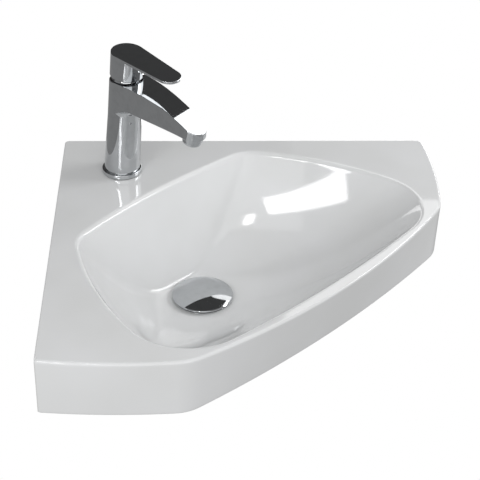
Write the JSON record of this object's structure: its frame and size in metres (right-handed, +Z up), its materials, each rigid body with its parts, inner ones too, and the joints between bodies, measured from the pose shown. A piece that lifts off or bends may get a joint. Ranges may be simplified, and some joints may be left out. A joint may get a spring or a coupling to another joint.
{
  "type": "corner basin",
  "caption": "Wall-hung corner wash basin with curved front, deep bowl, leaning single-lever mixer and a push-open domed waste.",
  "frame": {"origin": "room corner where the two wall faces of the basin meet, at the height of the deck", "axes": "+X along the back wall, -Y along the left wall, +Z up"},
  "size_m": [0.4498, 0.4498, 0.3626],
  "materials": {
    "basin_glaze": "white gloss glaze",
    "chrome": "polished",
    "brass": "machined",
    "steel": "zinc plated",
    "rubber_black": "matt black",
    "plastic_white": "natural white",
    "plastic_grey": "moulded grey",
    "disc_ceramic": "lapped",
    "index_red_blue": "dark blue"
  },
  "bodies": {
    "basin_set": {"basin": "basin_glaze", "tap_body": "chrome", "tap_base_ring": "chrome", "tap_base_gasket": "rubber_black", "rubber_horseshoe": "rubber_black", "steel_horseshoe": "steel", "fixing_stud": "steel", "stud_nut": "brass", "cartridge_base": "plastic_grey", "cartridge_seals": "rubber_black", "fixed_disc": "disc_ceramic", "cartridge_housing": "plastic_white", "cartridge_nut": "brass", "dome_ring": "chrome", "body_plug_screw": "chrome", "aerator_housing": "chrome", "aerator_insert": "plastic_white", "aerator_seal": "rubber_black", "flange_seal": "rubber_black", "waste_flange": "chrome", "hole_cone_seal": "rubber_black", "slip_washer": "plastic_white", "waste_backnut": "brass", "click_cartridge": "brass", "waste_spring": "steel"},
    "mixing_turret": {"cartridge_turret": "plastic_grey", "lever_pin": "steel"},
    "lever": {"lever_stem": "brass", "lever_handle": "chrome", "handle_grub_screw": "steel", "index_plug": "index_red_blue"},
    "disc_slider": {"disc_carrier": "plastic_white", "moving_disc": "disc_ceramic"},
    "waste_plug": {"waste_cap": "chrome", "cap_seal": "rubber_black", "waste_spindle": "brass"}
  },
  "joints": [
    {"name": "temperature_swivel", "type": "hinge", "parent": "basin_set", "child": "mixing_turret", "pos_m": [0.07319, -0.07319, 0], "axis": [0.0715, -0.0715, 0.9949], "range_deg": [-45, 45]},
    {"name": "lever_lift", "type": "hinge", "parent": "mixing_turret", "child": "lever", "pos_m": [0.08205, -0.08205, 0.12337], "axis": [-0.7071, -0.7071, 0], "range_deg": [0, 16.5]},
    {"name": "disc_slide", "type": "slide", "parent": "mixing_turret", "child": "disc_slider", "axis": [0.7035, -0.7035, -0.1011], "range_m": [0, 0.0034]},
    {"name": "waste_click", "type": "slide", "parent": "basin_set", "child": "waste_plug", "axis": [0, 0, 1], "range_m": [0, 0.008], "deforming": ["waste_spring"]}
  ],
  "couplings": [
    {"joint": "disc_slide", "follows": "lever_lift", "m_per_rad": 0.0118}
  ]
}
